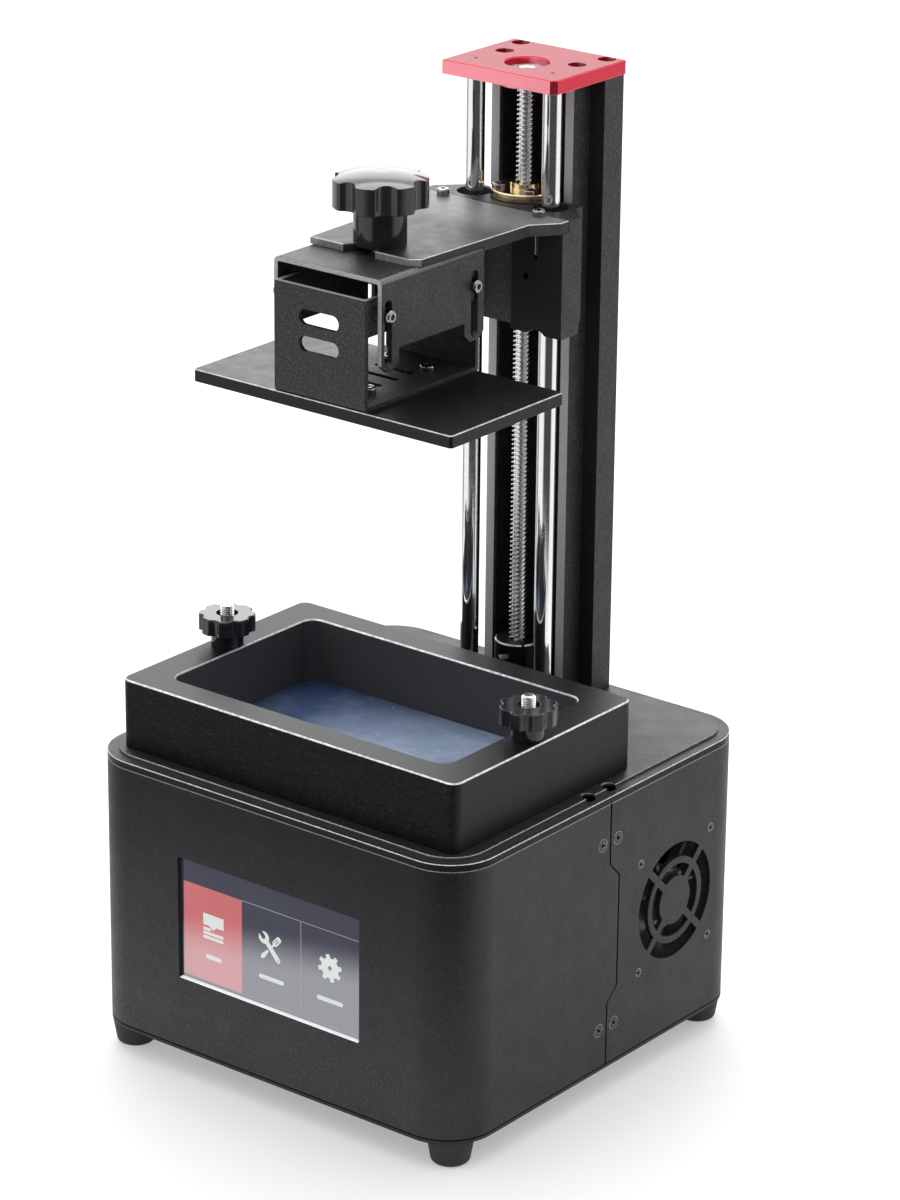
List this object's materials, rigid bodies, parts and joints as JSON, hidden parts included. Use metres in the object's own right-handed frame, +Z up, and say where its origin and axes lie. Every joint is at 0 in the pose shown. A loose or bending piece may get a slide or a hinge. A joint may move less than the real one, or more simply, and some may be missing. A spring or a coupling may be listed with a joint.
{
  "type": "resin printer",
  "caption": "Desktop resin printer: square enclosed base with a front touch screen, a clamped resin vat on top, and a screw-driven platform on a rear column.",
  "frame": {"origin": "on the floor under the centre of the square body, at the underside of the feet", "axes": "+Z up along the column, +Y to the back (the column side), +X to the right seen from the front (the fan side)"},
  "size_m": [0.2, 0.2015, 0.416],
  "materials": {
    "powder_coat": "fine textured powder coat",
    "bracket_coat": "coarse textured powder coat",
    "coated_aluminium": "coarse textured coat on aluminium",
    "black_anodised": "satin black anodised",
    "vat_anodised": "brushed black anodised",
    "red_anodised": "satin red anodised",
    "hard_chrome": "polished",
    "steel": "bright zinc",
    "dark_steel": "blackened",
    "brass": "machined",
    "rubber": "matte",
    "gloss_black": "moulded gloss",
    "black_plastic": "moulded matte",
    "screen_glass": "cover glass over a display",
    "lcd_glass": "mask display",
    "clear_lens": "clear",
    "release_film": "translucent film",
    "plain_aluminium": "plain",
    "circuit_board": "solder mask",
    "plated_shell": "nickel"
  },
  "bodies": {
    "base": {"base_plate": "powder_coat", "column": "coated_aluminium", "cover_screws": "dark_steel", "crown_plate": "red_anodised", "crown_screws": "dark_steel", "deck_plate": "powder_coat", "fan_frame": "black_plastic", "fan_screws": "dark_steel", "feet": "rubber", "foot_screws": "steel", "frame_posts": "steel", "front_cover": "powder_coat", "guide_rods": "hard_chrome", "limit_switch": "black_plastic", "main_board": "circuit_board", "mask_lcd": "lcd_glass", "motor_screws": "dark_steel", "plate_fixings": "dark_steel", "power_inlet": "black_plastic", "rear_cover": "powder_coat", "rod_base": "black_anodised", "side_strips": "steel", "switch_housing": "black_plastic", "top_bearing": "steel", "top_plate": "powder_coat", "touch_screen": "screen_glass", "usb_port": "plated_shell", "uv_heatsink": "plain_aluminium", "uv_led_board": "circuit_board", "uv_lens": "clear_lens", "uv_reflector": "plain_aluminium", "vat_studs": "steel", "z_motor": "dark_steel"},
    "screw": {"motor_shaft": "steel", "coupler": "black_anodised", "coupler_screws": "steel", "lead_screw": "steel"},
    "carriage": {"carriage_block": "coated_aluminium", "linear_bearings": "steel", "lead_nut": "brass", "nut_screws": "steel", "arm_plate": "black_anodised", "arm_screws": "steel"},
    "platform": {"upper_bracket": "bracket_coat", "clamp_stud": "steel"},
    "clamp_knob": {"clamp_knob": "gloss_black"},
    "plate_carrier": {"lower_bracket": "bracket_coat", "level_screws": "steel", "build_plate": "black_anodised", "plate_screws": "steel"},
    "vat": {"vat_frame": "vat_anodised", "vat_film": "release_film", "film_ring": "steel", "film_screws": "steel"},
    "vat_knob_left": {"vat_knob_left": "gloss_black"},
    "vat_knob_right": {"vat_knob_right": "gloss_black"},
    "fan_rotor": {"fan_rotor": "black_plastic"},
    "power_rocker": {"power_rocker": "gloss_black"}
  },
  "joints": [
    {"name": "z_slide", "type": "slide", "parent": "base", "child": "carriage", "axis": [0, 0, 1], "range_m": [-0.157, 0.038]},
    {"name": "screw_spin", "type": "hinge", "parent": "base", "child": "screw", "pos_m": [0, 0.0668, 0.2], "axis": [0, 0, 1], "continuous": true},
    {"name": "platform_slide", "type": "slide", "parent": "carriage", "child": "platform", "axis": [0, -1, 0], "range_m": [0, 0.01]},
    {"name": "clamp_knob_spin", "type": "hinge", "parent": "platform", "child": "clamp_knob", "pos_m": [0, -0.0285, 0.37], "axis": [0, 0, 1], "continuous": true},
    {"name": "platform_level", "type": "slide", "parent": "platform", "child": "plate_carrier", "axis": [0, 0, -1], "range_m": [-0.003, 0.005]},
    {"name": "vat_lift", "type": "slide", "parent": "base", "child": "vat", "axis": [0, 0, 1], "range_m": [0, 0.06]},
    {"name": "vat_knob_left_spin", "type": "hinge", "parent": "vat", "child": "vat_knob_left", "pos_m": [-0.0807, -0.0313, 0.172], "axis": [0, 0, 1], "continuous": true},
    {"name": "vat_knob_right_spin", "type": "hinge", "parent": "vat", "child": "vat_knob_right", "pos_m": [0.0807, -0.0313, 0.172], "axis": [0, 0, 1], "continuous": true},
    {"name": "fan_spin", "type": "hinge", "parent": "base", "child": "fan_rotor", "pos_m": [0.09, 0.048, 0.0729], "axis": [1, 0, 0], "continuous": true},
    {"name": "power_rocker_tilt", "type": "hinge", "parent": "base", "child": "power_rocker", "pos_m": [-0.03, 0.0946, 0.06], "axis": [1, 0, 0], "range_deg": [-8, 8]}
  ],
  "couplings": [
    {"joint": "screw_spin", "follows": "z_slide", "rad_per_m": -785.4}
  ]
}
